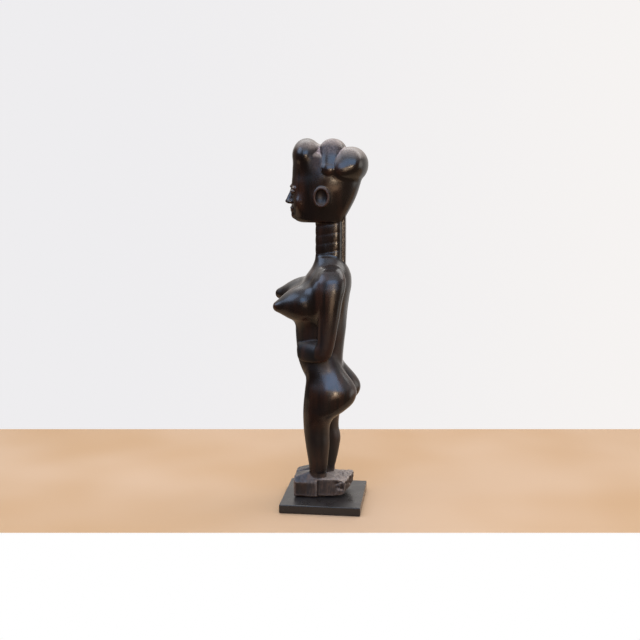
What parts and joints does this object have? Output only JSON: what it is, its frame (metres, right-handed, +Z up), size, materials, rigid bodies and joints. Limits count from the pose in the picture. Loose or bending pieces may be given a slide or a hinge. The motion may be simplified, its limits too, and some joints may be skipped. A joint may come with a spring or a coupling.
{
  "type": "carved wooden figure",
  "caption": "Carved hardwood figure of a standing woman with lobed hair, a ringed neck and hands on the belly, on her own rough foot block and a flat dark stand board.",
  "frame": {"origin": "middle of the stand board's underside", "axes": "+Z up, the figure faces -Y, +X is her left side"},
  "size_m": [0.091, 0.0994, 0.3862],
  "materials": {
    "carved_wood": "very dark hardwood, hand polished to a shine on the body and left rough and matte on the foot block",
    "board_paint": "wooden board painted satin black, edges rubbed"
  },
  "bodies": {
    "root": {"figure": "carved_wood", "stand_board": "board_paint"}
  },
  "joints": []
}
